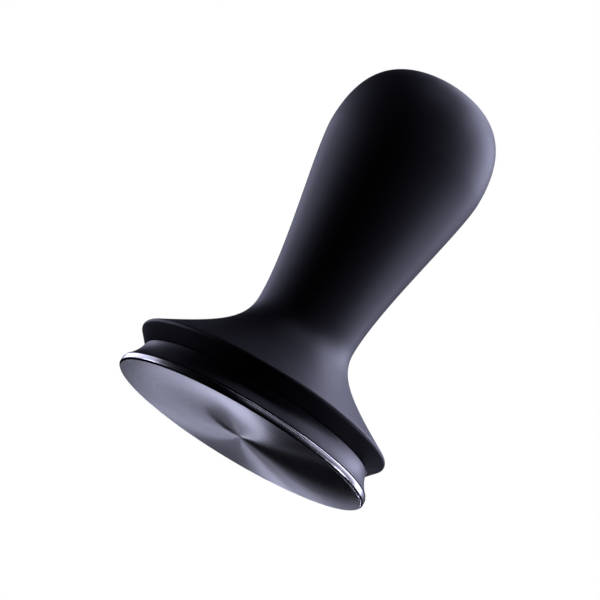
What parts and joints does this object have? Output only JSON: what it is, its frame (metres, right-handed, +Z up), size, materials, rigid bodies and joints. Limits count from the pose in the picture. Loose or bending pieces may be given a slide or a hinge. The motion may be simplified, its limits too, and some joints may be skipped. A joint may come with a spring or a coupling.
{
  "type": "espresso tamper",
  "caption": "Espresso tamper: pear-shaped soft-touch black handle that unscrews from a flat round stainless foot with a black grooved skirt.",
  "frame": {"origin": "centre of the flat tamping face, which is also what the tamper stands on", "axes": "+Z up the tamper's axis from the tamping face towards the bulb; it is round about Z, and +X passes through one locating pin"},
  "size_m": [0.058, 0.058, 0.0875],
  "materials": {
    "foot_steel": "circular turned face, polished rim",
    "gasket_rubber": "matt black",
    "skirt_black": "satin black",
    "pin_steel": "ground",
    "spring_steel": "tumbled spring steel",
    "nut_steel": "turned and slotted",
    "stud_steel": "rolled thread",
    "washer_nylon": "natural nylon",
    "bush_brass": "turned and knurled",
    "core_aluminium": "turned",
    "grip_black": "satin black soft-touch, fine grain"
  },
  "bodies": {
    "base": {"foot": "foot_steel", "foot_gasket": "gasket_rubber", "skirt": "skirt_black", "locating_pins": "pin_steel", "wave_washer": "spring_steel", "ring_nut": "nut_steel", "stud": "stud_steel", "jam_nut": "nut_steel", "joint_seal": "gasket_rubber"},
    "thrust_ring": {"thrust_washer": "washer_nylon"},
    "handle": {"threaded_bush": "bush_brass", "handle_core": "core_aluminium", "grip": "grip_black"}
  },
  "joints": [
    {"name": "handle_rise", "type": "slide", "parent": "base", "child": "thrust_ring", "axis": [0, 0, 1], "range_m": [0, 0.01]},
    {"name": "handle_turn", "type": "hinge", "parent": "thrust_ring", "child": "handle", "pos_m": [0, 0, 0], "axis": [0, 0, 1], "range_deg": [0, 2881]}
  ],
  "couplings": [
    {"joint": "handle_turn", "follows": "handle_rise", "rad_per_m": 5026.5}
  ]
}
